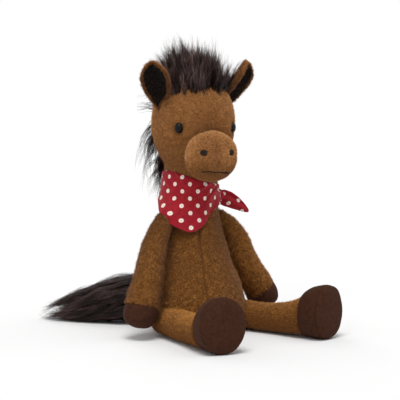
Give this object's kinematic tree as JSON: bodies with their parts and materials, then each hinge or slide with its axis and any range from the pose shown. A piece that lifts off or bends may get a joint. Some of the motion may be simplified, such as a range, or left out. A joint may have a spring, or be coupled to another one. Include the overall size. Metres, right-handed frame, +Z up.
{
  "type": "plush horse",
  "caption": "Sitting plush horse with a long muzzle, upright ears, dark mane and tail, suede hooves and a spotted bandana; head, arms, legs and tail move.",
  "frame": {"origin": "middle of the flat seat that the horse sits on, below the torso's axis", "axes": "+Z up, -Y the way the chest and legs face, so the horse's right side is -X"},
  "size_m": [0.2088, 0.3068, 0.3016],
  "materials": {
    "fur": "short soft brown pile",
    "stuffing": "white polyester fibre",
    "beans": "pouch of plastic beans",
    "suede": "dark brown brushed suedette",
    "hair": "long dark brown faux fur",
    "ear_lining": "dark brown plush lining",
    "washer": "natural plastic lock washer",
    "eye": "glossy black safety eye",
    "thread": "dark embroidery thread",
    "bandana_cotton": "red cotton with cream spots"
  },
  "bodies": {
    "torso": {"torso_skin": "fur", "torso_stuffing": "stuffing", "bean_bag": "beans", "bandana_wrap": "bandana_cotton", "bandana_knot": "bandana_cotton", "bandana_end": "bandana_cotton"},
    "neck": {"neck_skin": "fur", "neck_stuffing": "stuffing"},
    "head": {"head_skin": "fur", "head_stuffing": "stuffing", "muzzle_skin": "fur", "muzzle_stuffing": "stuffing", "eye_left": "eye", "eye_right": "eye", "eye_washer_left": "washer", "eye_washer_right": "washer", "nostril_left": "thread", "nostril_right": "thread", "mouth_stitch": "thread", "ear_left": "fur", "ear_right": "fur", "ear_lining_left": "ear_lining", "ear_lining_right": "ear_lining", "forelock": "hair", "mane": "hair"},
    "arm_left": {"arm_left_skin": "fur", "arm_left_stuffing": "stuffing", "hand_hoof_left": "suede"},
    "arm_right": {"arm_right_skin": "fur", "arm_right_stuffing": "stuffing", "hand_hoof_right": "suede"},
    "leg_left": {"leg_left_skin": "fur", "leg_left_stuffing": "stuffing", "foot_hoof_left": "suede"},
    "leg_right": {"leg_right_skin": "fur", "leg_right_stuffing": "stuffing", "foot_hoof_right": "suede"},
    "tail": {"tail": "hair"}
  },
  "joints": [
    {"name": "neck_turn", "type": "hinge", "parent": "torso", "child": "neck", "pos_m": [0, 0.013, 0.136], "axis": [0, 0, 1], "range_deg": [-47, 73], "deforming": ["bandana_wrap"]},
    {"name": "head_nod", "type": "hinge", "parent": "neck", "child": "head", "pos_m": [0, 0.013, 0.176], "axis": [0.9744, -0.225, 0], "range_deg": [-15, 8], "deforming": ["mane", "bandana_wrap"]},
    {"name": "arm_left_swing", "type": "hinge", "parent": "torso", "child": "arm_left", "pos_m": [0.036, 0.012, 0.121], "axis": [1, 0, 0], "range_deg": [-80, 35], "deforming": ["bandana_end"]},
    {"name": "arm_right_swing", "type": "hinge", "parent": "torso", "child": "arm_right", "pos_m": [-0.036, 0.012, 0.121], "axis": [1, 0, 0], "range_deg": [-80, 35], "deforming": ["bandana_wrap"]},
    {"name": "leg_left_swing", "type": "hinge", "parent": "torso", "child": "leg_left", "pos_m": [0.043, -0.003, 0.019], "axis": [0.9833, 0.1822, 0], "range_deg": [-15, 85]},
    {"name": "leg_right_swing", "type": "hinge", "parent": "torso", "child": "leg_right", "pos_m": [-0.043, -0.003, 0.019], "axis": [0.9681, -0.2504, 0], "range_deg": [-15, 85]},
    {"name": "tail_swing", "type": "hinge", "parent": "torso", "child": "tail", "pos_m": [0, 0.0599, 0.02], "axis": [0, 0, 1], "range_deg": [-87, 10]}
  ]
}
